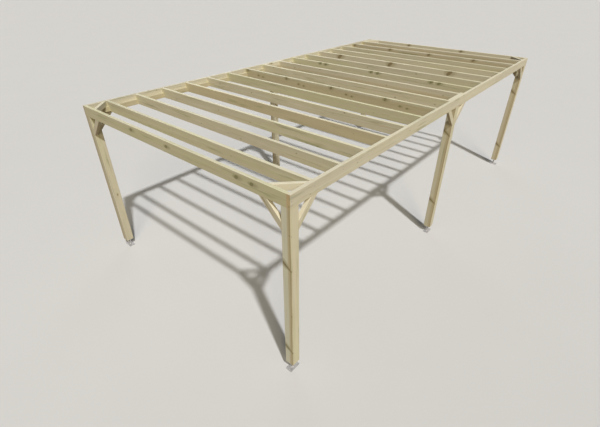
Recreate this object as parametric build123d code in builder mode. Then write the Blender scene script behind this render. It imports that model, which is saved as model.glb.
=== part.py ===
from build123d import *
import math
import os

# Timber pergola on six posts, in millimetres.
# X runs across the frame, Y along it and Z up from the ground.
# The origin is on the ground under the middle of the frame.
# "Near" is the end at -Y and "right" is the side at +X.

# Overall sizes, over the outer faces of the beams
frame_length = 7850.0
frame_width = 4040.0
beam_top_height = 2530.0

# Posts
post_side = 120.0
post_edge_radius = 5.0

# Beams and rafters are planks on edge, with tops and undersides flush
beam_thickness = 45.0
beam_depth = 150.0
rafter_thickness = 45.0
rafter_pitch = 472.0
plank_edge_chamfer = 3.0

# Ledgers carry the notched rafter ends on the inner faces of the side beams
ledger_thickness = 45.0
ledger_depth = 75.0

# Splice blocks back the butt joint in each side beam over its middle post, from the
# rafter before the joint to a little past the rafter after it
splice_block_thickness = 45.0
splice_block_clearance = 0.5
splice_block_overhang = 55.0

# Knee braces stand at 45 degrees between post and beam
knee_brace_reach = 285.0
knee_brace_width = 75.0
knee_brace_thickness = 45.0

# Corner braces lie at 45 degrees between side beam and end beam
corner_brace_reach = 280.0
corner_brace_thickness = 45.0
corner_brace_to_rafter = 5.5

# Steel feet: base plate, socket, threaded rod with lock nut, head plate
foot_height = 125.0
base_plate_length = 160.0
base_plate_width = 90.0
base_plate_thickness = 8.0
base_plate_corner_chamfer = 5.0
base_hole_diameter = 11.0
base_hole_edge_distance = 16.0
socket_diameter = 38.0
socket_height = 42.0
rod_diameter = 24.0
nut_across_flats = 36.0
nut_height = 19.0
head_plate_side = 100.0
head_plate_thickness = 6.0
head_plate_corner_chamfer = 5.0
head_hole_diameter = 9.0
head_hole_edge_distance = 15.0

# Heights that follow
beam_bottom_height = beam_top_height - beam_depth
ledger_top_height = beam_bottom_height + ledger_depth
depth_above_ledger = beam_depth - ledger_depth
post_length = beam_bottom_height - foot_height

# Places across and along that follow
beam_outer_x = frame_width / 2
beam_inner_x = beam_outer_x - beam_thickness
end_outer_y = frame_length / 2
end_inner_y = end_outer_y - beam_thickness
post_x = beam_outer_x - post_side / 2
end_post_y = end_outer_y - post_side / 2

# Edge of a 45 degree brace measured along the timber that it meets
knee_brace_inner_reach = knee_brace_reach - knee_brace_width * math.sqrt(2)
corner_brace_inner_reach = corner_brace_reach - corner_brace_thickness * math.sqrt(2)

# Rafters are set out from the near corner braces and stop at the far ones
first_rafter_y = -end_inner_y + corner_brace_reach + corner_brace_to_rafter + rafter_thickness / 2
last_rafter_limit_y = end_inner_y - corner_brace_reach - rafter_thickness / 2
rafter_count = int((last_rafter_limit_y - first_rafter_y) / rafter_pitch) + 1
rafters_y = [first_rafter_y + number * rafter_pitch for number in range(rafter_count)]

# The rafters on either side of the middle posts, and the splice blocks tied to them
clear_of_post = (post_side + rafter_thickness) / 2
rafter_before_joint_y = max(y for y in rafters_y if y <= -clear_of_post)
rafter_after_joint_y = min(y for y in rafters_y if y >= clear_of_post)
splice_start_y = rafter_before_joint_y + rafter_thickness / 2 + splice_block_clearance
splice_end_y = rafter_after_joint_y + rafter_thickness / 2 + splice_block_overhang

sides = {"left": -1, "right": 1}
rows = {"near": -1, "middle": 0, "far": 1}

os.makedirs("parts", exist_ok=True)


def is_diagonal(edge):
    """True for an edge at 45 degrees to two of the axes."""
    tolerance = 0.01
    direction = edge.tangent_at(0)
    largest = max(abs(direction.X), abs(direction.Y), abs(direction.Z))
    return math.isclose(largest, math.sqrt(0.5), abs_tol=tolerance)


def make_post(name, x, y):
    """Square post with eased arrises, standing on its foot."""
    with BuildPart() as post:
        with BuildSketch(Plane.XY.offset(foot_height)):
            with Locations((x, y)):
                RectangleRounded(post_side, post_side, post_edge_radius)
        extrude(amount=post_length)
    post.part.label = name
    export_step(post.part, f"parts/{name}.step")


def make_foot(name, x, y, turn):
    """Adjustable steel foot under one post; turn is the angle of its long axis from X."""
    hole_grid_length = base_plate_length - 2 * base_hole_edge_distance
    hole_grid_width = base_plate_width - 2 * base_hole_edge_distance
    head_grid = head_plate_side - 2 * head_hole_edge_distance
    socket_top = base_plate_thickness + socket_height
    head_plate_bottom = foot_height - head_plate_thickness
    with BuildPart() as foot:
        with BuildSketch() as base_plate:
            with Locations(Location((x, y, 0), (0, 0, turn))):
                Rectangle(base_plate_length, base_plate_width)
                chamfer(base_plate.vertices(), length=base_plate_corner_chamfer)
                with GridLocations(hole_grid_length, hole_grid_width, 2, 2):
                    Circle(base_hole_diameter / 2, mode=Mode.SUBTRACT)
        extrude(amount=base_plate_thickness)
        with BuildSketch(Plane.XY.offset(base_plate_thickness)):
            with Locations((x, y)):
                Circle(socket_diameter / 2)
        extrude(amount=socket_height)
        with BuildSketch(Plane.XY.offset(socket_top)):
            with Locations((x, y)):
                RegularPolygon(nut_across_flats / 2, 6, major_radius=False)
        extrude(amount=nut_height)
        with BuildSketch(Plane.XY.offset(socket_top)):
            with Locations((x, y)):
                Circle(rod_diameter / 2)
        extrude(amount=head_plate_bottom - socket_top)
        with BuildSketch(Plane.XY.offset(head_plate_bottom)) as head_plate:
            with Locations((x, y)):
                Rectangle(head_plate_side, head_plate_side)
                chamfer(head_plate.vertices(), length=head_plate_corner_chamfer)
                with GridLocations(head_grid, head_grid, 2, 2):
                    Circle(head_hole_diameter / 2, mode=Mode.SUBTRACT)
        extrude(amount=head_plate_thickness)
    foot.part.label = name
    export_step(foot.part, f"parts/{name}.step")


def make_plank_along_y(name, x, y_start, y_end, top, thickness, depth):
    """Plank on edge with eased arrises, running along Y from y_start to y_end."""
    with BuildPart() as plank:
        with BuildSketch(Plane.XZ.offset(-y_end)) as profile:
            with Locations((x, top - depth / 2)):
                Rectangle(thickness, depth)
            chamfer(profile.vertices(), length=plank_edge_chamfer)
        extrude(amount=y_end - y_start)
    plank.part.label = name
    export_step(plank.part, f"parts/{name}.step")


def make_end_beam(name, y):
    """Plank on edge that closes one end between the side beams."""
    with BuildPart() as beam:
        with BuildSketch(Plane.YZ.offset(-beam_inner_x)) as profile:
            with Locations((y, beam_top_height - beam_depth / 2)):
                Rectangle(beam_thickness, beam_depth)
            chamfer(profile.vertices(), length=plank_edge_chamfer)
        extrude(amount=2 * beam_inner_x)
    beam.part.label = name
    export_step(beam.part, f"parts/{name}.step")


def make_rafter(name, y):
    """Rafter between the side beams, with both ends notched over the ledgers.

    A rafter that meets the splice blocks is cut back to their inner faces.
    """
    meets_splice = splice_start_y < y < splice_end_y
    cut_back = splice_block_thickness if meets_splice else 0.0
    end_x = beam_inner_x - cut_back
    notch_length = ledger_thickness - cut_back
    with BuildPart() as rafter:
        with BuildSketch(Plane.XZ.offset(-(y + rafter_thickness / 2))):
            with Locations((0, beam_top_height - beam_depth / 2)):
                Rectangle(2 * end_x, beam_depth)
            if notch_length > 0:
                with Locations((-end_x, beam_bottom_height)):
                    Rectangle(notch_length, ledger_depth, align=Align.MIN, mode=Mode.SUBTRACT)
                with Locations((end_x, beam_bottom_height)):
                    Rectangle(
                        notch_length,
                        ledger_depth,
                        align=(Align.MAX, Align.MIN),
                        mode=Mode.SUBTRACT,
                    )
        extrude(amount=rafter_thickness)
        top_arrises = rafter.edges().filter_by(Axis.X).group_by(Axis.Z)[-1]
        bottom_arrises = rafter.edges().filter_by(Axis.X).group_by(Axis.Z)[0]
        chamfer(top_arrises + bottom_arrises, length=plank_edge_chamfer)
    rafter.part.label = name
    export_step(rafter.part, f"parts/{name}.step")


def make_knee_braces(name, braces):
    """Knee braces of one post.

    Each brace is given by the corner where post face, beam underside and outer
    face meet, by the direction away from the post and by the direction inward.
    """
    with BuildPart() as knee_braces:
        for corner, away, inward in braces:
            side = Plane(origin=corner, x_dir=away, z_dir=Vector(away).cross(Vector(0, 0, 1)))
            with BuildSketch(side):
                with BuildLine():
                    Polyline(
                        (0, -knee_brace_reach),
                        (knee_brace_reach, 0),
                        (knee_brace_inner_reach, 0),
                        (0, -knee_brace_inner_reach),
                        close=True,
                    )
                make_face()
            extrude(amount=knee_brace_thickness, dir=inward)
        chamfer(knee_braces.edges().filter_by(is_diagonal), length=plank_edge_chamfer)
    knee_braces.part.label = name
    export_step(knee_braces.part, f"parts/{name}.step")


def make_corner_braces(name, end):
    """The two horizontal braces at one end, flush with the beam tops."""
    with BuildPart() as corner_braces:
        for side in sides.values():
            corner_x = side * beam_inner_x
            corner_y = end * end_inner_y
            with BuildSketch(Plane.XY.offset(ledger_top_height)):
                with BuildLine():
                    Polyline(
                        (corner_x - side * corner_brace_reach, corner_y),
                        (corner_x, corner_y - end * corner_brace_reach),
                        (corner_x, corner_y - end * corner_brace_inner_reach),
                        (corner_x - side * corner_brace_inner_reach, corner_y),
                        close=True,
                    )
                make_face()
            extrude(amount=depth_above_ledger)
        chamfer(corner_braces.edges().filter_by(is_diagonal), length=plank_edge_chamfer)
    corner_braces.part.label = name
    export_step(corner_braces.part, f"parts/{name}.step")


def make_splice_blocks(name):
    """Blocks on top of the ledgers that join the two lengths of each side beam."""
    block_x = beam_inner_x - splice_block_thickness / 2
    block_z = beam_top_height - depth_above_ledger / 2
    with BuildPart() as blocks:
        with BuildSketch(Plane.XZ.offset(-splice_end_y)) as profile:
            with Locations((-block_x, block_z), (block_x, block_z)):
                Rectangle(splice_block_thickness, depth_above_ledger)
            chamfer(profile.vertices(), length=plank_edge_chamfer)
        extrude(amount=splice_end_y - splice_start_y)
    blocks.part.label = name
    export_step(blocks.part, f"parts/{name}.step")


# Posts, their feet and their knee braces
for side_name, side in sides.items():
    for row_name, row in rows.items():
        x = side * post_x
        y = row * end_post_y
        place = f"{row_name}_{side_name}"
        # A foot lies across the frame at the near left and far right posts
        lies_across = side * row > 0
        make_post(f"{place}_post", x, y)
        make_foot(f"{place}_foot", x, y, 0 if lies_across else 90)

        outer_x = side * beam_outer_x
        inward_x = (-side, 0, 0)
        braces = []
        for along in (-1, 1):
            # No brace on the side where the post ends the row
            if along != row:
                corner = (outer_x, y + along * post_side / 2, beam_bottom_height)
                braces.append((corner, (0, along, 0), inward_x))
        if row != 0:
            corner = (x - side * post_side / 2, row * end_outer_y, beam_bottom_height)
            braces.append((corner, inward_x, (0, -row, 0)))
        make_knee_braces(f"{place}_knee_braces", braces)

# Side beams in two lengths each, and the ledgers inside them
for side_name, side in sides.items():
    beam_x = side * (beam_outer_x - beam_thickness / 2)
    ledger_x = side * (beam_inner_x - ledger_thickness / 2)
    beam_sizes = (beam_top_height, beam_thickness, beam_depth)
    make_plank_along_y(f"{side_name}_beam_near", beam_x, -end_outer_y, 0, *beam_sizes)
    make_plank_along_y(f"{side_name}_beam_far", beam_x, 0, end_outer_y, *beam_sizes)
    ledger_sizes = (ledger_top_height, ledger_thickness, ledger_depth)
    make_plank_along_y(f"{side_name}_ledger", ledger_x, -end_inner_y, end_inner_y, *ledger_sizes)

# End beams and the braces in the corners behind them
for end_name, end in {"near": -1, "far": 1}.items():
    make_end_beam(f"{end_name}_end_beam", end * (end_outer_y - beam_thickness / 2))
    make_corner_braces(f"{end_name}_corner_braces", end)

make_splice_blocks("splice_blocks")

# Rafters, numbered from the near end
for number, rafter_y in enumerate(rafters_y, start=1):
    make_rafter(f"rafter_{number:02d}", rafter_y)
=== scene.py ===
import math
import random
from dataclasses import dataclass

import bmesh
import bpy
from mathutils import Matrix, Vector


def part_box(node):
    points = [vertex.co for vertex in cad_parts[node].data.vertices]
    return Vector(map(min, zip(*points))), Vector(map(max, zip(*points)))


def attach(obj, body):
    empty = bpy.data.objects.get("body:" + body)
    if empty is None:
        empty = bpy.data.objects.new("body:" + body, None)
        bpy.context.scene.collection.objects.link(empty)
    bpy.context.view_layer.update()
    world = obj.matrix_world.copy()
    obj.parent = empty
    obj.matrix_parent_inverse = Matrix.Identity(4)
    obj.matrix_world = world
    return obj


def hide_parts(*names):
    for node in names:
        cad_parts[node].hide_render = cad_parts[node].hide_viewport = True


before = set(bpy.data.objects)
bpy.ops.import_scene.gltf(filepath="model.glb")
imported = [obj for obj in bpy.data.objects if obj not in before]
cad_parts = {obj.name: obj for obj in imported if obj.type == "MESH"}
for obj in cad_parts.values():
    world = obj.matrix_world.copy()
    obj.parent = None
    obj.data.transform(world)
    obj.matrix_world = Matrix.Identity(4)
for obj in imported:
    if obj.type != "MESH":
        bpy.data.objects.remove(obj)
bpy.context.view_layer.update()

# Everything is in metres. X runs across the frame, Y along it and Z up from the ground.
X, Y, Z = Vector((1, 0, 0)), Vector((0, 1, 0)), Vector((0, 0, 1))
SIDES = {"left": -1, "right": 1}
ROWS = {"near": -1, "middle": 0, "far": 1}
ENDS = {"near": -1, "far": 1}

# Timber
PLANK_EDGE_RADIUS = 0.003
POST_EDGE_RADIUS = 0.005
EDGE_SEGMENTS = 4
BRACE_WIDTH = 0.075
CORNER_BRACE_THICKNESS = 0.045
TIMBER_SHARP_DEGREES = 35
SAME_PLACE = 1e-6

# Steel feet
HOLE_SEGMENTS = 32
BASE_PLATE_SIDES = (0.160, 0.090)
BASE_PLATE_THICKNESS = 0.008
BASE_HOLE_RADIUS = 0.0055
BASE_HOLE_INSET = 0.016
HEAD_PLATE_SIDES = (0.100, 0.100)
HEAD_PLATE_THICKNESS = 0.006
HEAD_HOLE_RADIUS = 0.0045
HEAD_HOLE_INSET = 0.015
PLATE_CORNER = 0.005
PLATE_EDGE_RADIUS = 0.0008
PLATE_EDGE_SEGMENTS = 2
PLATE_RIM_ANGLE = 1.2
SOCKET_RADIUS = 0.019
SOCKET_HEIGHT = 0.042
SOCKET_RIM_RADIUS = 0.0015
RIM_MIDDLE_INSET = 0.3
WELD_RADIUS = 0.004
WELD_SEGMENTS = 144
WELD_RIPPLES = 36
WELD_VALLEY = 0.85
ROD_RADIUS = 0.012
THREAD_PITCH = 0.003
THREAD_DEPTH = 0.0016
SPARE_THREAD_TURNS = 3
NUT_ACROSS_FLATS = 0.036
NUT_HEIGHT = 0.019
NUT_SEGMENTS = 48
NUT_FLAT_CIRCLE = 0.95
NUT_CHAMFER_DEGREES = 30
COACH_SCREW_FLATS = 0.013
COACH_SCREW_HEIGHT = 0.0055
WASHER_RADIUS = 0.009
WASHER_THICKNESS = 0.0016
STEEL_SHARP_DEGREES = 30

# Countersunk wood screws
SCREW_HEAD_RADIUS = 0.0052
SCREW_HEAD_PROUD = 0.0008
SCREW_HEAD_SUNK = 0.0015
SCREW_SEGMENTS = 36
RECESS_SHARE = 0.50
RECESS_LOBES = 0.13
RAFTER_SCREWS_BELOW_TOP = (0.020, 0.055)
CORNER_SCREWS_BELOW_TOP = (0.030, 0.075, 0.120)
JOINT_SCREWS_BELOW_TOP = (0.030, 0.120)
JOINT_SCREW_FROM_END = 0.032
LEDGER_SCREW_STAGGER = 0.018
BRACE_SCREWS_FROM_TIP = (0.036, 0.062)
BRACE_SCREW_STAGGER = 0.009

# Sun lamps: the way towards each, its strength, its angle in degrees and its colour
LAMPS = {
    "key": ((0.516, -0.263, 0.815), 2.75, 2.5, (1.0, 0.99, 1.0)),
    "fill": ((0.62, -0.56, 0.55), 1.16, 20, (1.0, 0.87, 0.64)),
    "back": ((-0.69, 0.69, 0.22), 1.2, 40, (0.90, 0.95, 1.0)),
}
SKY_STRENGTH = 0.08
SKY_COLOUR = (0.97, 0.985, 1.0, 1.0)
BACKDROP_STRENGTH = 1.0
FLOOR_REACH = 300.0

# Camera, found by fitting a pinhole to the frame's corners in the photo
CAMERA_PLACE = (3.981, -6.090, 4.226)
CAMERA_TILT_DEGREES = (57.139, 0.098, 40.375)
CAMERA_LENS_MM = 22.962
CAMERA_SENSOR_MM = 36.0
CAMERA_NEAREST = 0.05
CAMERA_FARTHEST = 1000.0

# Ranges that the log of a plank is drawn from
PITH_ASIDE = (-0.03, 0.03)
PITH_BEYOND_FACE = (0.013, 0.048)
PITH_DRIFT_ACROSS = (-0.025, 0.025)
PITH_DRIFT_THROUGH = (-0.015, 0.015)
FIRST_KNOT = (0.05, 0.4)
KNOT_SPACING = (0.6, 1.9)
KNOT_TURN_DEGREES = (-50, 50)
KNOT_LEAN_DEGREES = (8, 24)
THIN_BRANCH_RADIUS = (0.004, 0.010)
THICK_BRANCH_RADIUS = (0.016, 0.025)
THICK_BRANCH_SHARE = 0.40
# These hold where no tone is given below
PLANK_LIGHTNESS = (0.3, 0.8)
PLANK_GREENNESS = (-0.4, 0.35)
PLANK_HEART_RADII = (0.0, 0.0, 0.035, 0.075)
UNCUT_LENGTH = 60

# Posts, with the marks that the photo shows. A knot has its height on a near post, its
# direction round the pith on a right one, its lean and its radius.
POST_KNOTS = ((0.86, 60, 25, 0.008), (1.95, 120, 25, 0.006))
RIGHT_POST_KNOTS = ((0.235, 93, 35, 0.0112), (1.515, 93, 35, 0.0118))
POST_KNOT_LIFT = {-1: 0.0, 0: 0.28, 1: 0.12}
POST_PITH_DEPTH = (0.002, 0.004)
POST_PITH_FROM_OUTSIDE = (0.008, 0.012)
POST_HEART_OFF = (0.010, 0.022)
POST_HEART_RADIUS = 0.030
# The left posts' lower lightness is painted shade, for the frame beside them that shades them
POST_LIGHTNESS_AND_LEFT_SHADE = {-1: (0.1, 0.3), 1: (0.75, 0.95)}
POST_GREENNESS = (-0.1, 0.2)
RIGHT_POST_GREYNESS = {-1: 0.75, 0: 0.20, 1: 0.0}

# Lightness and greenness of the long planks, as the photo shows them
PLANK_TONES = {
    "right_beam_near": (0.45, -0.05),
    "right_beam_far": (0.60, -0.10),
    "left_beam_near": (-0.15, -0.20),
    "left_beam_far": (-0.20, -0.20),
    "left_ledger": (0.00, 0.10),
    "right_ledger": (0.00, 0.10),
}
BRACE_TONE = (0.55, -0.30)
# The rafters' lightness, from the near end to the far one, as the photo shows them
RAFTER_LIGHTNESS = (0.7, 0.6, 0.8, 0.9, 0.6, 0.6, 0.5, 0.9, 0.4, 0.8, 0.5, 0.6, 0.9, 0.5, 0.2, 0.4)
# These rafters and the ledgers are cut from the heart, and are more tan
HEART_RAFTERS = (4, 7, 9, 11, 14, 15, 16)
WIDE_HEART_RADIUS = 0.080
# The near rafters are greener than the far ones
NEAR_RAFTER_GREENNESS = 0.30
RAFTER_LESS_GREEN = 0.035
# The photo shows no large knots in the side beams and in most of the rafters
CLEAR_KNOT_RADIUS = 0.005
# A fresh end is more orange than the faces, and an old one as pale
PALE_ENDS = ("left_beam_near",)

# Grain, as lengths and as the share of each colour over the wood below it
RINGS_PER_METRE = 230.0
RING_WOBBLE = 0.016
RINGS_PUSHED = 0.008
HEART_WOBBLE = 0.014
LATEWOOD_SHARE = 0.42
END_LATEWOOD_SHARE = 0.60
HEARTWOOD_SHARE = 0.6
STAIN_SHARE = 0.6
HALO_SHARE = 0.6
RIM_SHARE = 0.6
CHECK_WOBBLE = 0.006
CHECK_HALF_WIDTH = 0.0014
TIMBER_RELIEF = 0.0010
ZINC_RELIEF = 0.0004
# What a board without knots or drying checks has in their place
NO_KNOT = (99.0, 99.0, 0.0)
NO_CHECK = (1.0, 0.0)


def srgb(red, green, blue):
    """A colour given as 0 to 255 on screen, as the linear colour that shaders take."""
    def linear(value):
        value /= 255
        return value / 12.92 if value <= 0.04045 else ((value + 0.055) / 1.055) ** 2.4
    return (linear(red), linear(green), linear(blue), 1.0)


SAPWOOD_PALE = srgb(215, 210, 188)
SAPWOOD_GREEN = srgb(199, 198, 164)
HEARTWOOD = srgb(190, 178, 140)
PITH = srgb(156, 140, 98)
LATEWOOD = srgb(188, 174, 134)
STAIN = srgb(144, 148, 106)
GREYED = srgb(220, 223, 205)
KNOT = srgb(122, 101, 71)
KNOT_RIM = srgb(98, 80, 55)
KNOT_HALO = srgb(164, 154, 116)
GREEN_KNOT = srgb(132, 129, 90)
GREEN_KNOT_HALO = srgb(150, 150, 108)
CHECK = srgb(84, 68, 46)
END_GRAIN = srgb(208, 184, 138)
DARK_FIBRE = (0.90, 0.89, 0.87, 1)
LIGHT_FIBRE = (1.07, 1.07, 1.07, 1)
ZINC_LIGHT = srgb(200, 198, 196)
ZINC_DARK = srgb(172, 171, 172)
RUST = srgb(128, 92, 66)
# Painted shade for the bottom of the shallow screw drives
RECESS_SHADE_DARK = srgb(92, 86, 78)
RECESS_SHADE_LIGHT = srgb(128, 122, 112)
FLOOR = srgb(208, 208, 206)
FLOOR_CLOUD = (0.97, 0.97, 0.97, 1)
FLOOR_TO_SOFT_LIGHT = srgb(126, 112, 92)
BACKDROP = srgb(212, 210, 205)
WHITE = (1.0, 1.0, 1.0, 1)


class Nodes:
    """Short calls for building the node tree of a material or a world."""

    def __init__(self, owner, shader="Principled BSDF"):
        owner.use_nodes = True
        self.owner = owner
        self.tree = owner.node_tree
        self.shader = self.tree.nodes[shader]

    def add(self, kind, inputs=(), **settings):
        node = self.tree.nodes.new("ShaderNode" + kind)
        for name, value in settings.items():
            setattr(node, name, value)
        self.feed(node, dict(inputs))
        return node

    def feed(self, node, inputs):
        """Sets a node's inputs, each to a value or to another node's output."""
        for name, value in inputs.items():
            if isinstance(value, bpy.types.NodeSocket):
                self.tree.links.new(value, node.inputs[name])
            else:
                node.inputs[name].default_value = value

    def attribute(self, name):
        """The three numbers that a mesh corner holds under this name."""
        return self.split(self.add("Attribute", attribute_name=name).outputs["Vector"])

    def place(self):
        return self.add("TexCoord").outputs["Object"]

    def split(self, vector):
        node = self.add("SeparateXYZ", {"Vector": vector})
        return node.outputs["X"], node.outputs["Y"], node.outputs["Z"]

    def vector(self, x, y, z):
        return self.add("CombineXYZ", {"X": x, "Y": y, "Z": z}).outputs[0]

    def math(self, operation, *values):
        return self.add("Math", enumerate(values), operation=operation).outputs[0]

    def plus(self, a, b):
        return self.math("ADD", a, b)

    def times(self, a, b):
        return self.math("MULTIPLY", a, b)

    def length(self, a, b):
        return self.math("SQRT", self.plus(self.times(a, a), self.times(b, b)))

    def noise(self, vector, scale=1.0, detail=2.0, roughness=0.5):
        """Noise from 0 to 1, centred on a half."""
        inputs = {"Vector": vector, "Scale": scale, "Detail": detail, "Roughness": roughness}
        return self.add("TexNoise", inputs).outputs["Fac"]

    def swing(self, noise, size):
        """Noise made to swing round 0, over this size in all."""
        return self.times(self.plus(noise, -0.5), size)

    def step(self, value, low, high, from_value=0.0, to_value=1.0):
        """Rises smoothly from one value to another while the input goes from low to high."""
        inputs = {"Value": value, 1: low, 2: high, 3: from_value, 4: to_value}
        return self.add("MapRange", inputs, interpolation_type="SMOOTHSTEP").outputs[0]

    def mix(self, share, a, b, blend="MIX"):
        inputs = {0: share, 6: a, 7: b}
        return self.add("Mix", inputs, data_type="RGBA", blend_type=blend).outputs[2]

    def tinted(self, colour, tint):
        return self.mix(1.0, colour, tint, "MULTIPLY")

    def bump(self, height, distance):
        inputs = {"Height": height, "Distance": distance, "Strength": 1.0}
        self.feed(self.shader, {"Normal": self.add("Bump", inputs).outputs[0]})


class TimberNodes(Nodes):
    """The node tree of timber, with the attributes that place a board in its log.

    Grain holds the distance along the board and the two distances from the pith, heart the
    two distances from the heartwood's middle and its radius, branch the place beside the
    nearest knot's axis, ageing the distance from the plane of a drying check, the way out
    along it and how grey the sapwood has turned, and tone the board's own colour, with
    painted shade in the lower lightness of the left posts.
    """

    def __init__(self, name):
        super().__init__(bpy.data.materials.new(name))
        self.along, self.across, self.through = self.attribute("grain")
        self.check_off, self.check_out, self.greyness = self.attribute("ageing")
        self.lightness, self.greenness, self.fresh_end = self.attribute("tone")

    def fibres(self, lengthwise, crosswise, **settings):
        """Noise with its own scale along the fibres and across them."""
        place = self.vector(
            self.times(self.along, lengthwise),
            self.times(self.across, crosswise),
            self.times(self.through, crosswise),
        )
        return self.noise(place, **settings)


def knot_shares(n):
    """The shares of a knot's core, dark rim and halo.

    A branch thickens outward from the pith, and a thin one leaves on the pith's other side.
    """
    along, across, out = n.attribute("branch")
    thickness = n.step(out, 0.0, 0.11, 0.45, 1.15)
    outward = n.step(out, -0.040, -0.030)
    off_axis = n.math("DIVIDE", n.length(along, across), thickness)
    drawn_out = n.math("DIVIDE", n.length(n.times(along, 0.42), across), thickness)
    core = n.step(off_axis, 0.9, 1.05, 1.0, 0.0)
    rim = n.times(n.step(off_axis, 0.75, 1.0), n.step(off_axis, 1.0, 1.25, 1.0, 0.0))
    halo = n.step(drawn_out, 0.7, 2.1, 1.0, 0.0)
    return [n.times(outward, share) for share in (core, rim, halo)]


def growth_rings(n, knot_halo):
    """Distance from the pith, and share of latewood in rings that the knots push aside."""
    bend = n.fibres(0.9, 5.0, detail=1.0)
    bend_other = n.fibres(0.7, 4.0, scale=1.3, detail=1.0)
    radius = n.length(
        n.plus(n.across, n.swing(bend, RING_WOBBLE)),
        n.plus(n.through, n.swing(bend_other, RING_WOBBLE)),
    )
    pushed = n.plus(radius, n.times(knot_halo, RINGS_PUSHED))
    growth = n.noise(n.vector(n.times(pushed, 60.0), n.lightness, n.greenness), detail=1.0)
    year = n.math("FRACT", n.plus(n.times(pushed, RINGS_PER_METRE), n.times(growth, 1.6)))
    late = n.times(n.step(year, 0.35, 0.86), n.step(year, 0.90, 1.0, 1.0, 0.0))
    return radius, late


def clear_wood(n, radius, late, broad, patch, end_grain):
    """Sapwood, heartwood, pith and latewood, in patches that took up the treatment unevenly."""
    heart_across, heart_through, heart_radius = n.attribute("heart")
    heart_place = n.plus(n.length(heart_across, heart_through), n.swing(patch, HEART_WOBBLE))
    heart_edge = n.math("SUBTRACT", heart_place, heart_radius)
    heart = n.step(heart_edge, -0.010, 0.008, 1.0, 0.0)
    green = n.step(n.plus(n.plus(broad, patch), n.greenness), 0.75, 1.6)
    wood = n.mix(green, SAPWOOD_PALE, SAPWOOD_GREEN)
    wood = n.mix(n.times(heart, HEARTWOOD_SHARE), wood, HEARTWOOD)
    wood = n.mix(n.step(radius, 0.002, 0.014, 0.7, 0.0), wood, PITH)
    if end_grain:
        wood = n.mix(n.step(n.fresh_end, 0.0, 1.0, 0.15, 0.85), wood, END_GRAIN)
    late_share = END_LATEWOOD_SHARE if end_grain else LATEWOOD_SHARE
    return n.mix(n.times(late, late_share), wood, LATEWOOD)


def weathered(n, wood, broad, patch, fibre):
    """Wood with grey-green streaks, greyed inner sapwood, fibres and the board's lightness."""
    streak = n.fibres(0.9, 13.0, scale=1.7, detail=4.0, roughness=0.6)
    wood = n.mix(n.step(streak, 0.55, 0.74, 0.0, STAIN_SHARE), wood, STAIN)
    inward = n.plus(n.through, n.times(n.swing(patch, HEART_WOBBLE), 1.5))
    wood = n.mix(n.times(n.step(inward, 0.018, 0.044), n.greyness), wood, GREYED)
    wood = n.tinted(wood, n.mix(fibre, DARK_FIBRE, LIGHT_FIBRE))
    shade = n.plus(n.plus(n.times(n.lightness, 0.16), n.swing(broad, 0.35)), 0.90)
    return n.tinted(wood, n.vector(shade, shade, shade))


def knotty(n, wood, core, rim, halo):
    """Wood with its knots, which are greener where the board is."""
    speck = n.fibres(90.0, 90.0)
    soaked = n.step(n.greenness, -0.1, 0.4)
    halo_colour = n.mix(soaked, KNOT_HALO, GREEN_KNOT_HALO)
    knot_colour = n.mix(soaked, KNOT, GREEN_KNOT)
    wood = n.mix(n.times(halo, HALO_SHARE), wood, halo_colour)
    wood = n.mix(core, wood, n.mix(speck, knot_colour, halo_colour))
    return n.mix(n.times(rim, RIM_SHARE), wood, KNOT_RIM)


def check_gap(n):
    """The share of a drying check's dark gap, which wanders and is open in places only."""
    wander = n.swing(n.fibres(9.0, 0.0, detail=3.0), CHECK_WOBBLE)
    half_width = n.step(n.fibres(1.3, 0.0, detail=1.0), 0.42, 0.62, 0.0, CHECK_HALF_WIDTH)
    distance = n.math("ABSOLUTE", n.plus(n.check_off, wander))
    gap = n.step(n.math("SUBTRACT", distance, half_width), -0.0004, 0.0004, 1.0, 0.0)
    return n.times(gap, n.step(n.check_out, 0.0, 0.01))


def timber_material(name, end_grain):
    """Pressure-treated softwood, as a solid that each board is cut from."""
    n = TimberNodes(name)
    core, rim, halo = knot_shares(n)
    radius, late = growth_rings(n, halo)
    broad = n.fibres(0.55, 8.0)
    patch = n.fibres(1.5, 24.0, detail=3.0)
    fibre = n.fibres(7.0, 420.0, detail=3.0, roughness=0.6)
    gap = check_gap(n)
    wood = clear_wood(n, radius, late, broad, patch, end_grain)
    wood = weathered(n, wood, broad, patch, fibre)
    wood = knotty(n, wood, core, rim, halo)
    rough = n.step(n.fibres(3.0, 60.0), 0.2, 0.8, 0.58, 0.78)
    n.feed(n.shader, {
        "Base Color": n.mix(gap, wood, CHECK),
        "Roughness": n.plus(rough, n.times(late, -0.08)),
        "Specular IOR Level": 0.35,
    })
    relief = n.plus(n.times(late, 0.14), n.times(fibre, 0.22))
    relief = n.plus(relief, n.times(core, 0.25))
    n.bump(n.plus(relief, n.times(gap, -1.6)), TIMBER_RELIEF)
    return n.owner


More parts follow.
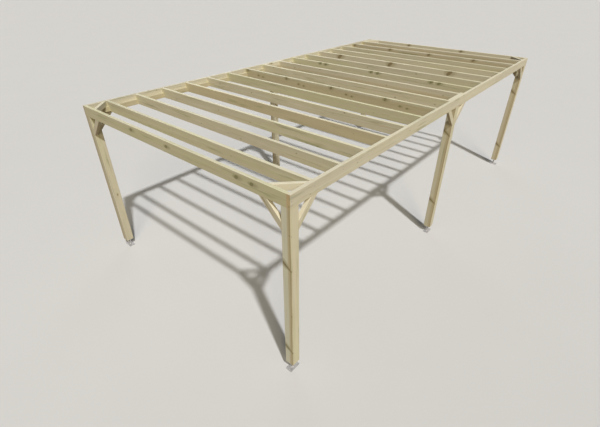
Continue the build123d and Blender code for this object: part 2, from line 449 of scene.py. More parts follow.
def zinc_material(name, crystal_scale, contrast, roughness):
    """Zinc-coated steel: dull crystals of slightly different greys, with a few rust specks."""
    n = Nodes(bpy.data.materials.new(name))
    place = n.place()
    warp = n.vector(n.times(n.noise(place, scale=90.0), 0.004), 0, 0)
    bent = n.add("VectorMath", {0: place, 1: warp}).outputs[0]
    crystals = n.add("TexVoronoi", {"Vector": bent, "Scale": crystal_scale})
    crystal_tone, crystal_shine, _ = n.split(crystals.outputs["Color"])
    cloud = n.noise(place, scale=35.0, detail=4.0, roughness=0.6)
    dirt = n.noise(place, scale=120.0, detail=5.0, roughness=0.7)
    tone = n.plus(n.times(crystal_tone, contrast), n.times(cloud, 1.0 - contrast))
    grey = n.mix(tone, ZINC_DARK, ZINC_LIGHT)
    gloss = n.plus(n.times(crystal_shine, 0.14), n.times(dirt, 0.20))
    n.feed(n.shader, {
        "Base Color": n.mix(n.step(dirt, 0.68, 0.80, 0.0, 0.5), grey, RUST),
        "Metallic": 0.85,
        "Roughness": n.plus(gloss, roughness),
    })
    n.bump(n.plus(n.times(cloud, 0.5), n.times(crystal_tone, 0.2)), ZINC_RELIEF)
    return n.owner


def recess_material(name):
    """The bottom of a screw head's drive, painted dark as the shade of a deep recess, since the
    drive is built shallow.
    """
    n = Nodes(bpy.data.materials.new(name))
    # This dark grey is painted shade, for a drive deeper than the one that is built
    painted_shade_noise = n.noise(n.place(), scale=700.0, detail=3.0)
    n.feed(n.shader, {
        "Base Color": n.mix(painted_shade_noise, RECESS_SHADE_DARK, RECESS_SHADE_LIGHT),
        "Roughness": n.step(painted_shade_noise, 0.2, 0.8, 0.5, 0.8),
        "Metallic": 0.4,
    })
    return n.owner


TIMBER = timber_material("treated_pine", end_grain=False)
TIMBER_END = timber_material("treated_pine_end_grain", end_grain=True)
GALVANISED = zinc_material("galvanised_plate", crystal_scale=95.0, contrast=0.45, roughness=0.38)
PLATED = zinc_material("zinc_plated_thread", crystal_scale=420.0, contrast=0.3, roughness=0.22)
# Painted shade in the screw drives
RECESS = recess_material("screw_recess_painted_shade")


def add_object(name, data):
    """A new object of a mesh, a lamp or a camera, in the scene."""
    made = bpy.data.objects.new(name, data)
    bpy.context.scene.collection.objects.link(made)
    return made


def finished(name, solid, materials, sharp_degrees):
    """An object of a mesh that was being built, with even shading between its sharp edges."""
    mesh = bpy.data.meshes.new(name)
    solid.to_mesh(mesh)
    solid.free()
    mesh.set_sharp_from_angle(angle=math.radians(sharp_degrees))
    for material in materials:
        mesh.materials.append(material)
    piece = add_object(name, mesh)
    piece.modifiers.new("even_normals", "WEIGHTED_NORMAL").keep_sharp = True
    return piece


def with_next(items):
    """Each item of a closed row with the one after it."""
    return zip(items, items[1:] + items[:1])


def angles_round(segments):
    return [2 * math.pi * i / segments for i in range(segments)]


def polar(radius, angle, height):
    return (radius * math.cos(angle), radius * math.sin(angle), height)


def stacked(rings):
    """A solid between rings of points, closed by a flat face at each end."""
    solid = bmesh.new()
    rows = [[solid.verts.new(point) for point in ring] for ring in rings]
    for lower, upper in zip(rows, rows[1:]):
        for (a, b), (c, d) in zip(with_next(lower), with_next(upper)):
            solid.faces.new((a, b, d, c))
    solid.faces.new(reversed(rows[0]))
    solid.faces.new(rows[-1])
    return solid


def cut_by_plane(solid, point, normal, clear_outer=False):
    """Cuts a solid by a plane, and gives what lies in the cut."""
    everything = solid.verts[:] + solid.edges[:] + solid.faces[:]
    return bmesh.ops.bisect_plane(
        solid, geom=everything, plane_co=point, plane_no=normal, clear_outer=clear_outer
    )["geom_cut"]


@dataclass
class Knot:
    """A branch that leaves the pith: place along the board, direction round the pith and lean
    along the board in degrees, and radius a hand's width out."""
    along: float
    around: float
    lean: float
    radius: float


@dataclass
class Log:
    """How a board lies in its log: places of the pith are (across, through) from the board's
    centre, and the heartwood's middle may lie off the pith."""
    pith_start: tuple
    pith_end: tuple
    knots: list
    lightness: float
    greenness: float
    fresh_end: float = 1.0
    heart_off: tuple = (0.0, 0.0)
    heart_radius: float = 0.0
    check_around: float = None
    greyness: float = 0.0


@dataclass
class Board:
    """One length of timber: its start, its directions, its sizes and its log.

    The outline, if any, has (along, across) points and takes the place of a plain rectangle.
    """
    start: Vector
    along: Vector
    across: Vector
    length: float
    width: float
    thickness: float
    log: Log
    radius: float = PLANK_EDGE_RADIUS
    outline: list = None


def plank_log(rng, length, thickness):
    """A plank sawn beside the heart of its log, with branches that come through its faces."""
    side = rng.choice((-1, 1))
    pith = (rng.uniform(*PITH_ASIDE), side * (thickness / 2 + rng.uniform(*PITH_BEYOND_FACE)))
    drift = (rng.uniform(*PITH_DRIFT_ACROSS), rng.uniform(*PITH_DRIFT_THROUGH))
    towards_board = -90 * side
    way = rng.choice((-1, 1))
    knots = []
    place = rng.uniform(*FIRST_KNOT)
    while place < length:
        around = towards_board + rng.uniform(*KNOT_TURN_DEGREES)
        lean = way * rng.uniform(*KNOT_LEAN_DEGREES)
        radii = THICK_BRANCH_RADIUS if rng.random() < THICK_BRANCH_SHARE else THIN_BRANCH_RADIUS
        knots.append(Knot(place, around, lean, rng.uniform(*radii)))
        place += rng.uniform(*KNOT_SPACING)
    return Log(
        pith_start=pith,
        pith_end=(pith[0] + drift[0], pith[1] + drift[1]),
        knots=knots,
        lightness=rng.uniform(*PLANK_LIGHTNESS),
        greenness=rng.uniform(*PLANK_GREENNESS),
        heart_radius=rng.choice(PLANK_HEART_RADII),
    )


def prism(board):
    """The board's solid in its own frame, with rounded long arrises."""
    length, half_width, half_thickness = board.length, board.width / 2, board.thickness / 2
    outline = board.outline or [
        (0, -half_width), (length, -half_width), (length, half_width), (0, half_width)
    ]
    solid = stacked([[(u, v, w) for u, v in outline] for w in (-half_thickness, half_thickness)])
    arrises = [edge for edge in solid.edges if is_arris(edge, half_width)]
    rounding = {"offset": board.radius, "segments": EDGE_SEGMENTS, "profile": 0.5}
    bmesh.ops.bevel(solid, geom=arrises, affect="EDGES", **rounding)
    return solid


def is_arris(edge, half_width):
    """True for an edge that runs along the board at its full width."""
    start, end = (vertex.co for vertex in edge.verts)
    runs_along = abs(start.x - end.x) > SAME_PLACE and abs(start.y - end.y) < SAME_PLACE
    return runs_along and abs(abs(start.y) - half_width) < SAME_PLACE and start.z == end.z


def knot_exit(board, knot):
    """How far along the board a knot comes out of the face that lies away from the pith."""
    way_out = math.hypot(*pith_at(board, knot.along)) + board.thickness / 2
    return knot.along + way_out * math.tan(math.radians(knot.lean))


def nearest_knot(board, along):
    """The knot that comes out of the board nearest to a place along it, if there is any."""
    return min(
        board.log.knots, key=lambda knot: abs(knot_exit(board, knot) - along), default=None
    )


def cut_between_knots(solid, board):
    """Cuts the solid halfway between neighbouring knots, so that each face has one nearest knot."""
    places = sorted(knot_exit(board, knot) for knot in board.log.knots)
    for one, other in zip(places, places[1:]):
        cut_by_plane(solid, ((one + other) / 2, 0, 0), (1, 0, 0))


def pith_at(board, along):
    share = along / board.length
    return [a + share * (b - a) for a, b in zip(board.log.pith_start, board.log.pith_end)]


def branch_place(board, knot, point):
    """Where a point lies beside a knot's axis: two distances in knot radii, and the way out."""
    if knot is None:
        return NO_KNOT
    around, lean = math.radians(knot.around), math.radians(knot.lean)
    level = math.cos(lean)
    out = Vector((math.sin(lean), level * math.cos(around), level * math.sin(around)))
    fibre = (X - out * out.x).normalized()
    beside = out.cross(fibre)
    offset = point - Vector((knot.along, *pith_at(board, knot.along)))
    return (offset.dot(fibre) / knot.radius, offset.dot(beside) / knot.radius, offset.dot(out))


def check_place(log, across, through):
    """How far a point lies off the plane of the log's drying check, and how far out in it."""
    if log.check_around is None:
        return NO_CHECK
    turn = math.radians(log.check_around)
    sine, cosine = math.sin(turn), math.cos(turn)
    return (across * sine - through * cosine, across * cosine + through * sine)


def wood_at(board, knot, point, shift):
    """The attributes of the timber at a point of the board."""
    log = board.log
    pith = pith_at(board, point.x)
    across, through = point.y - pith[0], point.z - pith[1]
    heart_across, heart_through = log.heart_off
    return {
        "grain": (point.x + shift, across, through),
        "heart": (across - heart_across, through - heart_through, log.heart_radius),
        "branch": branch_place(board, knot, point),
        "ageing": (*check_place(log, across, through), log.greyness),
        "tone": (log.lightness, log.greenness, log.fresh_end),
    }


def timber(node, boards):
    """One piece made of boards, which stands for a timber node of the frame."""
    rng = random.Random(f"{node} shift")
    merged = bmesh.new()
    names = ("grain", "heart", "branch", "ageing", "tone")
    layers = {name: merged.loops.layers.float_vector.new(name) for name in names}
    for board in boards:
        shift = rng.uniform(0, UNCUT_LENGTH)
        solid = prism(board)
        cut_between_knots(solid, board)
        through = board.along.cross(board.across)
        turn = Matrix((board.along, board.across, through)).transposed()
        placed = {v: merged.verts.new(board.start + turn @ v.co) for v in solid.verts}
        for face in solid.faces:
            knot = nearest_knot(board, face.calc_center_median().x)
            made = merged.faces.new([placed[v] for v in face.verts])
            made.material_index = 1 if abs(face.normal.x) > 0.5 else 0
            made.smooth = True
            for old_corner, corner in zip(face.loops, made.loops):
                for name, value in wood_at(board, knot, old_corner.vert.co, shift).items():
                    corner[layers[name]] = value
        solid.free()
    piece = finished(f"{node}_timber", merged, (TIMBER, TIMBER_END), TIMBER_SHARP_DEGREES)
    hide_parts(node)
    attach(piece, "root")


def board_in_box(box, along, log, radius=PLANK_EDGE_RADIUS, outline=None):
    """A board that fills a box and runs along one axis of the frame."""
    low, high = box
    size, centre = high - low, (low + high) / 2
    across = Y if along == Z else Z
    through = along.cross(across)
    length, width, thickness = (abs(size.dot(way)) for way in (along, across, through))
    start = centre - along * length / 2
    return Board(start, along, across, length, width, thickness, log, radius, outline)


@dataclass
class ShownKnots:
    """Knots that the photo shows on the near face of a plank that runs across the frame.

    Those of one height and radius have their places along X. The pith lies behind them.
    """
    knots: dict
    lean: float = 45
    pith: tuple = (-0.010, -0.032)
    greenness: float = 0.0

    def branches(self, low, high):
        """The branches that come out of the near face at these places."""
        made = []
        for (z, radius), places in self.knots.items():
            rise = z - (low.z + high.z) / 2 - self.pith[0]
            depth = (high.y - low.y) / 2 - self.pith[1]
            around = math.degrees(math.atan2(depth, rise))
            drift = math.hypot(depth, rise) * math.tan(math.radians(self.lean))
            made += [Knot(x - low.x - drift, around, self.lean, radius) for x in places]
        return made


SHOWN_KNOTS = {
    "near_end_beam": ShownKnots({
        (2.475, 0.016): (-0.70,),
        (2.46, 0.016): (0.08,),
        (2.47, 0.016): (1.30,),
        (2.465, 0.016): (1.52,),
    }, greenness=0.30),
    "rafter_07": ShownKnots({
        (2.505, 0.018): (-1.90, -0.88, 0.13, 1.16),
        (2.45, 0.016): (-1.61, -0.59, 0.44, 1.42),
        (2.44, 0.014): (-1.49, -0.47, 0.55, 1.54),
    }, lean=20, greenness=0.15),
    "rafter_10": ShownKnots({
        (2.515, 0.015): (-1.19, 0.05, 1.27),
        (2.51, 0.015): (-1.05, 0.19, 1.41),
    }, greenness=0.30),
    "rafter_12": ShownKnots({
        (2.49, 0.023): (-1.36, -0.07, 1.21),
    }, lean=42, pith=(-0.050, -0.035), greenness=-0.10),
    "rafter_15": ShownKnots({(2.5, 0.016): (-1.89, -0.87, 0.14, 1.16)}, greenness=-0.40),
    "far_end_beam": ShownKnots({
        (2.5, 0.015): (-0.80,),
        (2.505, 0.015): (0.56,),
    }, greenness=-0.10),
}


def clear_of_knots(log):
    for knot in log.knots:
        knot.radius = min(knot.radius, CLEAR_KNOT_RADIUS)


def cross_plank_log(node):
    """The log of a plank that runs across, with its knots where the photo shows them."""
    low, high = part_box(node)
    log = plank_log(random.Random(node), high.x - low.x, high.y - low.y)
    shown = SHOWN_KNOTS.get(node)
    if shown:
        # Across is +Z and through is -Y here, so the pith lies behind the near face
        log.pith_start = log.pith_end = shown.pith
        log.knots = shown.branches(low, high)
        log.greenness = shown.greenness
    else:
        clear_of_knots(log)
    return log


def post_log(node, side, row):
    """A post with the pith at its outer near arris and branches that run across its near face.

    Across is +Y and through is -X here, so the outer near arris lies at (-half, -side * half).
    """
    rng = random.Random(node)
    low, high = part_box(node)
    half = (high.x - low.x) / 2
    pith_depth = rng.uniform(*POST_PITH_DEPTH)
    pith_from_outside = rng.uniform(*POST_PITH_FROM_OUTSIDE)
    pith = (-half + pith_depth, -side * (half - pith_from_outside))
    knots = [
        Knot(height + POST_KNOT_LIFT[row], around * side, lean, radius)
        for height, around, lean, radius in POST_KNOTS + (RIGHT_POST_KNOTS if side > 0 else ())
    ]
    return Log(
        pith_start=pith,
        pith_end=pith,
        knots=[knot for knot in knots if knot.along < high.z - low.z],
        # On a left post this lightness holds painted shade
        lightness=rng.uniform(*POST_LIGHTNESS_AND_LEFT_SHADE[side]),
        greenness=rng.uniform(*POST_GREENNESS),
        heart_off=(POST_HEART_OFF[0], side * POST_HEART_OFF[1]),
        heart_radius=POST_HEART_RADIUS,
        check_around=-90 * side,
        greyness=RIGHT_POST_GREYNESS[row] if side > 0 else 0.0,
    )


def make_posts():
    for side_name, side in SIDES.items():
        for row_name, row in ROWS.items():
            node = f"{row_name}_{side_name}_post"
            log = post_log(node, side, row)
            timber(node, [board_in_box(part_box(node), Z, log, POST_EDGE_RADIUS)])


def make_long_planks():
    """Side beams and ledgers, which run along Y."""
    for side_name in SIDES:
        for node in (f"{side_name}_beam_near", f"{side_name}_beam_far", f"{side_name}_ledger"):
            low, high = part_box(node)
            log = plank_log(random.Random(node), high.y - low.y, high.x - low.x)
            log.lightness, log.greenness = PLANK_TONES[node]
            log.heart_radius = WIDE_HEART_RADIUS if "ledger" in node else 0.0
            clear_of_knots(log)
            if node in PALE_ENDS:
                log.fresh_end = 0.0
            timber(node, [board_in_box((low, high), Y, log)])


def rafter_nodes():
    return sorted(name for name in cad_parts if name.startswith("rafter_"))


def rafters_y():
    """Where the rafters' middles lie along Y."""
    return [sum(corner.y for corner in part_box(node)) / 2 for node in rafter_nodes()]


def rafter_outline(node):
    """The rafter's side view, with the ends notched over the ledgers."""
    low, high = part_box(node)
    ledger_low, ledger_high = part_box("right_ledger")
    length, half_width = high.x - low.x, (high.z - low.z) / 2
    notch = high.x - ledger_low.x
    notch_top = ledger_high.z - low.z - half_width
    if notch < PLANK_EDGE_RADIUS:
        return None
    return [
        (notch, -half_width), (length - notch, -half_width),
        (length - notch, notch_top), (length, notch_top), (length, half_width),
        (0, half_width), (0, notch_top), (notch, notch_top),
    ]


def make_cross_planks():
    """End beams and rafters, which run along X."""
    for node in ("near_end_beam", "far_end_beam"):
        timber(node, [board_in_box(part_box(node), X, cross_plank_log(node))])
    for number, (node, lightness) in enumerate(zip(rafter_nodes(), RAFTER_LIGHTNESS)):
        log = cross_plank_log(node)
        log.lightness = lightness
        log.heart_radius = WIDE_HEART_RADIUS if number + 1 in HEART_RAFTERS else 0.0
        if node not in SHOWN_KNOTS:
            log.greenness += NEAR_RAFTER_GREENNESS - RAFTER_LESS_GREEN * number
        timber(node, [board_in_box(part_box(node), X, log, outline=rafter_outline(node))])


def mitred_board(corner, one, other, reach, width, thickness, inward, rng):
    """A brace cut at 45 degrees at both ends, which bridges the corner between two timbers.

    It meets the first timber at corner + reach * one and the second at corner + reach * other.
    """
    along = (other - one).normalized()
    across = (one + other).normalized()
    length = reach * math.sqrt(2)
    outer_middle = corner + (one + other) * reach / 2
    start = outer_middle - along * length / 2 - across * width / 2 + inward * thickness / 2
    outline = [
        (width, -width / 2), (length - width, -width / 2), (length, width / 2), (0, width / 2)
    ]
    log = plank_log(rng, length, thickness)
    log.knots = []
    log.heart_radius = 0.0
    log.lightness, log.greenness = BRACE_TONE
    return Board(start, along, across, length, width, thickness, log, outline=outline)


def knee_brace_boards(node, side_name, row_name):
    """The braces at a post: along the side beam each way that it goes on, and at the frame's
    ends one along the end beam."""
    side, row = SIDES[side_name], ROWS[row_name]
    rng = random.Random(node)
    low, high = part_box(node)
    ledger_low, ledger_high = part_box(f"{side_name}_ledger")
    post = dict(zip((-1, 1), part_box(f"{row_name}_{side_name}_post")))
    sizes = (high.z - low.z, BRACE_WIDTH, ledger_high.x - ledger_low.x)
    inward = X * -side
    boards = []
    for way in (-1, 1):
        if way != row:
            corner = Vector((post[side].x, post[way].y, high.z))
            boards.append(mitred_board(corner, -Z, Y * way, *sizes, inward, rng))
    if row:
        corner = Vector((post[-side].x, post[row].y, high.z))
        boards.append(mitred_board(corner, -Z, inward, *sizes, Y * -row, rng))
    return boards


def corner_brace_boards(node, end):
    """The level braces in the two corners at an end of the frame."""
    rng = random.Random(node)
    low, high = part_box(node)
    corner_y = low.y if end < 0 else high.y
    sizes = (high.y - low.y, CORNER_BRACE_THICKNESS, high.z - low.z)
    boards = []
    for side in SIDES.values():
        corner = Vector((side * high.x, corner_y, low.z))
        boards.append(mitred_board(corner, X * -side, Y * -end, *sizes, Z, rng))
    return boards


def make_braces():
    """The braces under the beams and in the corners; gives their boards, for the screws."""
    sets = {}
    for side_name in SIDES:
        for row_name in ROWS:
            node = f"{row_name}_{side_name}_knee_braces"
            sets[node] = knee_brace_boards(node, side_name, row_name)
    for end_name, end in ENDS.items():
        node = f"{end_name}_corner_braces"
        sets[node] = corner_brace_boards(node, end)
    for node, boards in sets.items():
        timber(node, boards)
    return sum(sets.values(), [])


def make_splice_blocks():
    node = "splice_blocks"
    rng = random.Random(node)
    low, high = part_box(node)
    ledger_low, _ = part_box("right_ledger")
    boards = []
    for side in SIDES.values():
        block_low, block_high = low.copy(), high.copy()
        block_low.x, block_high.x = sorted((side * ledger_low.x, side * high.x))
        log = plank_log(rng, high.y - low.y, high.x - ledger_low.x)
        boards.append(board_in_box((block_low, block_high), Y, log))
    timber(node, boards)


def turned(profile, segments, swell=None):
    """A ring turned round Z from a closed line of (radius, height) points.

    Swell, if any, gives by angle how much the line grows away from its first point.
    """
    ring = bmesh.new()
    rows = []
    first_radius, first_height = profile[0]
    for angle in angles_round(segments):
        growth = swell(angle) if swell else 1.0
        row = []
        for radius, height in profile:
            reach = first_radius + (radius - first_radius) * growth
            rise = first_height + (height - first_height) * growth
            row.append(ring.verts.new(polar(reach, angle, rise)))
        rows.append(row)
    for here, there in with_next(rows):
        for (a, b), (c, d) in zip(with_next(here), with_next(there)):
            ring.faces.new((a, c, d, b))
    return ring


def plate(side_x, side_y, thickness, hole_radius, hole_inset):
    """A flat plate with cut corners, four holes and slightly rounded edges, on the XY plane."""
    solid = bmesh.new()
    half_x, half_y = side_x / 2, side_y / 2
    cut_x, cut_y = half_x - PLATE_CORNER, half_y - PLATE_CORNER
    loops = [[
        (half_x, -cut_y), (half_x, cut_y), (cut_x, half_y), (-cut_x, half_y),
        (-half_x, cut_y), (-half_x, -cut_y), (-cut_x, -half_y), (cut_x, -half_y),
    ]]
    for x in (hole_inset - half_x, half_x - hole_inset):
        for y in (hole_inset - half_y, half_y - hole_inset):
            loops.append([
                (x + hole_radius * math.cos(a), y + hole_radius * math.sin(a))
                for a in angles_round(HOLE_SEGMENTS)
            ])
    for loop in loops:
        corners = [solid.verts.new((x, y, 0)) for x, y in loop]
        for pair in with_next(corners):
            solid.edges.new(pair)
    bmesh.ops.triangle_fill(solid, use_beauty=True, edges=solid.edges[:])
    top = bmesh.ops.extrude_face_region(solid, geom=solid.faces[:])
    raised = [item for item in top["geom"] if isinstance(item, bmesh.types.BMVert)]
    bmesh.ops.translate(solid, verts=raised, vec=(0, 0, thickness))
    bmesh.ops.recalc_face_normals(solid, faces=solid.faces[:])
    rims = [edge for edge in solid.edges if edge.calc_face_angle(0) > PLATE_RIM_ANGLE]
    rounding = {"offset": PLATE_EDGE_RADIUS, "segments": PLATE_EDGE_SEGMENTS}
    bmesh.ops.bevel(solid, geom=rims, affect="EDGES", **rounding)
    return solid


def hexagon_head(flats, height):
    """A hexagon whose corners are cut by a cone above and below, on the XY plane."""
    half = flats / 2
    flat_circle = half * NUT_FLAT_CIRCLE
    slope = math.tan(math.radians(NUT_CHAMFER_DEGREES))
    rings = [[], [], [], []]
    for angle in angles_round(NUT_SEGMENTS):
        off_flat = (angle + math.pi / 6) % (math.pi / 3) - math.pi / 6
        radius = half / math.cos(off_flat)
        cut = (radius - flat_circle) * slope
        sides = ((flat_circle, 0), (radius, cut), (radius, height - cut), (flat_circle, height))
        for ring, (reach, rise) in zip(rings, sides):
            ring.append(polar(reach, angle, rise))
    return stacked(rings)


def threaded_rod(bottom, top):
    """A rod with a helical thread, cut flat at both ends."""
    rod = bmesh.new()
    root = ROD_RADIUS - THREAD_DEPTH
    # Shares of the pitch, with the radius there
    profile = ((0.0, root), (0.375, ROD_RADIUS), (0.5, ROD_RADIUS), (0.875, root))
    turns = math.ceil((top - bottom) / THREAD_PITCH) + SPARE_THREAD_TURNS
    steps = turns * HOLE_SEGMENTS
    strip = []
    for i in range(steps):
        angle = 2 * math.pi * i / HOLE_SEGMENTS
        rise = bottom + THREAD_PITCH * (i / HOLE_SEGMENTS - SPARE_THREAD_TURNS / 2)
        strip.append([
            rod.verts.new(polar(radius, angle, rise + share * THREAD_PITCH))
            for share, radius in profile
        ])
    for i in range(steps - 1):
        here, there = strip[i], strip[i + 1]
        for j in range(len(profile) - 1):
            rod.faces.new((here[j], there[j], there[j + 1], here[j + 1]))
        if i + 1 + HOLE_SEGMENTS < steps:
            above, above_there = strip[i + HOLE_SEGMENTS][0], strip[i + 1 + HOLE_SEGMENTS][0]
            rod.faces.new((here[-1], there[-1], above_there, above))
    for height, way in ((bottom, -1), (top, 1)):
        section = cut_by_plane(rod, (0, 0, height), (0, 0, way), clear_outer=True)
        edges = [item for item in section if isinstance(item, bmesh.types.BMEdge)]
        bmesh.ops.triangle_fill(rod, use_beauty=True, edges=edges)
    bmesh.ops.recalc_face_normals(rod, faces=rod.faces[:])
    return rod


def socket():
    """The tube that the rod is screwed into, with a rounded rim."""
    bore, rim = ROD_RADIUS - THREAD_DEPTH, SOCKET_RIM_RADIUS
    inset = rim * RIM_MIDDLE_INSET
    return turned([
        (bore, 0), (SOCKET_RADIUS, 0), (SOCKET_RADIUS, SOCKET_HEIGHT - rim),
        (SOCKET_RADIUS - inset, SOCKET_HEIGHT - inset),
        (SOCKET_RADIUS - rim, SOCKET_HEIGHT), (bore, SOCKET_HEIGHT),
    ], HOLE_SEGMENTS * 2)


def weld():
    """The rippled bead round the bottom of the socket."""
    def swell(angle):
        return WELD_VALLEY + (1 - WELD_VALLEY) * abs(math.sin(WELD_RIPPLES * angle / 2))

    arc = [math.radians(angle) for angle in range(0, 91, 15)]
    bead = [(SOCKET_RADIUS + WELD_RADIUS * math.cos(a), WELD_RADIUS * math.sin(a)) for a in arc]
    return turned([(SOCKET_RADIUS, 0)] + bead, WELD_SEGMENTS, swell)


def washer():
    """A washer that hangs below the XY plane."""
    return turned([
        (HEAD_HOLE_RADIUS, -WASHER_THICKNESS), (WASHER_RADIUS, -WASHER_THICKNESS),
        (WASHER_RADIUS, 0), (HEAD_HOLE_RADIUS, 0),
    ], HOLE_SEGMENTS)


def absorb(whole, part, place, material_index=0):
    """Adds a part's faces to a whole, moved to their place."""
    copies = {vertex: whole.verts.new(place @ vertex.co) for vertex in part.verts}
    for face in part.faces:
        made = whole.faces.new([copies[vertex] for vertex in face.verts])
        made.material_index = face.material_index or material_index
        made.smooth = True


def steel_piece(name, whole, materials):
    """Makes an object of the steel parts gathered in a mesh."""
    piece = finished(name, whole, materials, STEEL_SHARP_DEGREES)
    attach(piece, "root")
    return piece


def make_foot(node):
    """An adjustable foot: base plate, welded socket, threaded rod with its nut, head plate."""
    low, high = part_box(node)
    centre = Vector(((low.x + high.x) / 2, (low.y + high.y) / 2, 0))
    lies_across = high.x - low.x > high.y - low.y
    base_sides = BASE_PLATE_SIDES if lies_across else reversed(BASE_PLATE_SIDES)
    socket_top = BASE_PLATE_THICKNESS + SOCKET_HEIGHT
    head_bottom = high.z - HEAD_PLATE_THICKNESS
    base = plate(*base_sides, BASE_PLATE_THICKNESS, BASE_HOLE_RADIUS, BASE_HOLE_INSET)
    head = plate(*HEAD_PLATE_SIDES, HEAD_PLATE_THICKNESS, HEAD_HOLE_RADIUS, HEAD_HOLE_INSET)
    rod = threaded_rod(socket_top - NUT_HEIGHT / 2, head_bottom + HEAD_PLATE_THICKNESS / 2)

    def at(x, y, z):
        return Matrix.Translation(centre + Vector((x, y, z)))

    whole = bmesh.new()
    absorb(whole, base, at(0, 0, 0))
    absorb(whole, socket(), at(0, 0, BASE_PLATE_THICKNESS))
    absorb(whole, weld(), at(0, 0, BASE_PLATE_THICKNESS))
    absorb(whole, rod, at(0, 0, 0), 1)
    absorb(whole, hexagon_head(NUT_ACROSS_FLATS, NUT_HEIGHT), at(0, 0, socket_top), 1)
    absorb(whole, head, at(0, 0, head_bottom))

    coach_screw = hexagon_head(COACH_SCREW_FLATS, COACH_SCREW_HEIGHT)
    screw_bottom = head_bottom - WASHER_THICKNESS - COACH_SCREW_HEIGHT
    offset = HEAD_PLATE_SIDES[0] / 2 - HEAD_HOLE_INSET
    rng = random.Random(node)
    for x in (-offset, offset):
        for y in (-offset, offset):
            turn = Matrix.Rotation(rng.uniform(0, math.pi / 3), 4, "Z")
            absorb(whole, washer(), at(x, y, head_bottom), 1)
            absorb(whole, coach_screw, at(x, y, screw_bottom) @ turn, 1)
    piece = steel_piece(f"{node}_steel", whole, (GALVANISED, PLATED))
    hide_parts(node)


def screw_head():
    """A countersunk head that lies a little proud of the timber, with a six-lobe recess."""
    def ring(radius, height, lobes=0.0):
        return [
            polar(radius * (1 + lobes * math.cos(6 * angle)), angle, height)
            for angle in angles_round(SCREW_SEGMENTS)
        ]

    top, rim = SCREW_HEAD_PROUD, SCREW_HEAD_RADIUS
    recess = rim * RECESS_SHARE
    head = stacked([
        ring(rim * 0.8, -SCREW_HEAD_SUNK),
        ring(rim, -0.0002),
        ring(rim, top * 0.5),
        ring(rim * 0.94, top),
        ring(recess, top, RECESS_LOBES),
        ring(recess * 0.92, top * 0.12, RECESS_LOBES),
    ])
    # The drive's faces take the material that is painted dark as shade
    for face in head.faces:
        reach = max(vertex.co.xy.length for vertex in face.verts)
        face.material_index = 1 if reach < recess * 1.2 else 0
    return head


def drive_screws(name, places):
    """One piece of screws, each given by its place and the way its head faces."""
    rng = random.Random(name)
    head = screw_head()
    whole = bmesh.new()
    for place, facing in places:
        turn = facing.to_track_quat("Z", "X").to_matrix().to_4x4()
        spin = Matrix.Rotation(rng.uniform(0, math.pi), 4, "Z")
        absorb(whole, head, Matrix.Translation(place) @ turn @ spin)
    steel_piece(name, whole, (PLATED, RECESS))


def make_beam_screws():
    """Screws through the side beams into the rafters, the end beams and the splice blocks."""
    _, beam_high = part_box("right_beam_near")
    end_low, end_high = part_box("far_end_beam")
    end_y = (end_low.y + end_high.y) / 2
    joint_y = JOINT_SCREW_FROM_END
    rows = [(y, RAFTER_SCREWS_BELOW_TOP) for y in rafters_y()]
    rows += [(y, CORNER_SCREWS_BELOW_TOP) for y in (end_y, -end_y)]
    rows += [(y, JOINT_SCREWS_BELOW_TOP) for y in (-joint_y, joint_y)]
    for side_name, side in SIDES.items():
        places = [
            (Vector((side * beam_high.x, y, beam_high.z - below)), X * side)
            for y, depths in rows
            for below in depths
        ]
        drive_screws(f"{side_name}_beam_screws", places)


def make_ledger_screws():
    """Screws through the ledgers into the side beams, one in each bay, high and low in turn."""
    middles = rafters_y()
    bays_y = [(one + other) / 2 for one, other in zip(middles, middles[1:])]
    for side_name, side in SIDES.items():
        low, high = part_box(f"{side_name}_ledger")
        inner = low.x if side > 0 else high.x
        middle_z = (low.z + high.z) / 2
        places = []
        for number, y in enumerate(bays_y):
            stagger = LEDGER_SCREW_STAGGER * (-1) ** number
            places.append((Vector((inner, y, middle_z + stagger)), X * -side))
        drive_screws(f"{side_name}_ledger_screws", places)


def make_brace_screws(boards):
    """Two screws near each tip of a brace, through its long edge."""
    places = []
    for board in boards:
        through = board.along.cross(board.across)
        edge = board.start + board.across * board.width / 2
        for number, from_tip in enumerate(BRACE_SCREWS_FROM_TIP):
            stagger = through * BRACE_SCREW_STAGGER * (-1) ** number
            for along in (from_tip, board.length - from_tip):
                places.append((edge + board.along * along + stagger, board.across))
    drive_screws("brace_screws", places)


def seen_directly(n):
    """1 for what the camera sees, also in metal and through glass, and 0 for soft light."""
    ray = n.add("LightPath").outputs
    mirrored = n.math("MAXIMUM", ray["Is Camera Ray"], ray["Is Glossy Ray"])
    return n.math("MAXIMUM", mirrored, ray["Is Transmission Ray"])


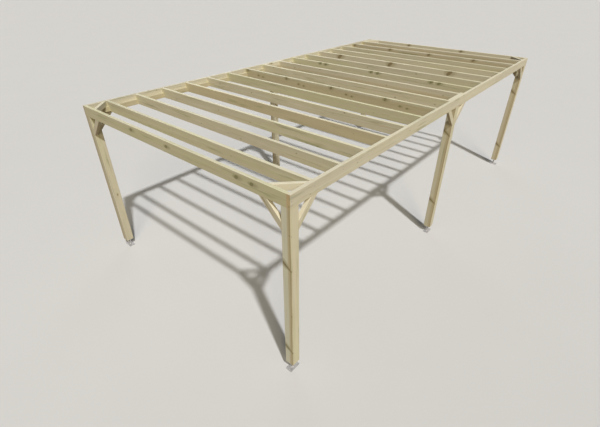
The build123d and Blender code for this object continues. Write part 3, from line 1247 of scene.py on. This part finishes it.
def make_floor():
    """A wide pale floor that throws back dimmer and warmer light, as a deck does."""
    n = Nodes(bpy.data.materials.new("pale_floor"))
    cloud = n.noise(n.place(), scale=0.6, detail=3.0)
    pale = n.tinted(FLOOR, n.mix(cloud, FLOOR_CLOUD, WHITE))
    n.feed(n.shader, {
        "Base Color": n.mix(seen_directly(n), FLOOR_TO_SOFT_LIGHT, pale),
        "Roughness": 1.0,
        "Specular IOR Level": 0.0,
    })
    mesh = bpy.data.meshes.new("floor")
    reach = FLOOR_REACH
    corners = [(-reach, -reach, 0), (reach, -reach, 0), (reach, reach, 0), (-reach, reach, 0)]
    mesh.from_pydata(corners, [], [(0, 1, 2, 3)])
    mesh.materials.append(n.owner)
    floor = add_object("floor", mesh)


def make_sky():
    """Weak soft daylight, with a backdrop of the floor's own colour where the camera looks."""
    world = bpy.data.worlds.new("studio")
    bpy.context.scene.world = world
    n = Nodes(world, "Background")
    n.feed(n.shader, {"Color": SKY_COLOUR, "Strength": SKY_STRENGTH})
    backdrop = n.add("Background", {"Color": BACKDROP, "Strength": BACKDROP_STRENGTH})
    shaders = {0: seen_directly(n), 1: n.shader.outputs[0], 2: backdrop.outputs[0]}
    either = n.add("MixShader", shaders).outputs[0]
    n.feed(n.tree.nodes["World Output"], {"Surface": either})


def make_lamps():
    for name, (towards, strength, angle_degrees, colour) in LAMPS.items():
        lamp = bpy.data.lights.new(name, "SUN")
        lamp.energy = strength
        lamp.angle = math.radians(angle_degrees)
        lamp.color = colour
        turned_lamp = add_object(name, lamp)
        turned_lamp.rotation_euler = Vector(towards).to_track_quat("Z", "Y").to_euler()


def make_camera():
    data = bpy.data.cameras.new("camera")
    data.sensor_width = CAMERA_SENSOR_MM
    data.sensor_fit = "HORIZONTAL"
    data.lens = CAMERA_LENS_MM
    data.clip_start = CAMERA_NEAREST
    data.clip_end = CAMERA_FARTHEST
    camera = add_object("camera", data)
    camera.location = CAMERA_PLACE
    camera.rotation_euler = [math.radians(angle) for angle in CAMERA_TILT_DEGREES]
    bpy.context.scene.camera = camera


make_posts()
make_long_planks()
make_cross_planks()
braces = make_braces()
make_splice_blocks()
for row in ROWS:
    for side in SIDES:
        make_foot(f"{row}_{side}_foot")
make_beam_screws()
make_ledger_screws()
make_brace_screws(braces)

make_floor()
make_sky()
make_lamps()
make_camera()

bpy.context.scene.view_settings.view_transform = "Standard"
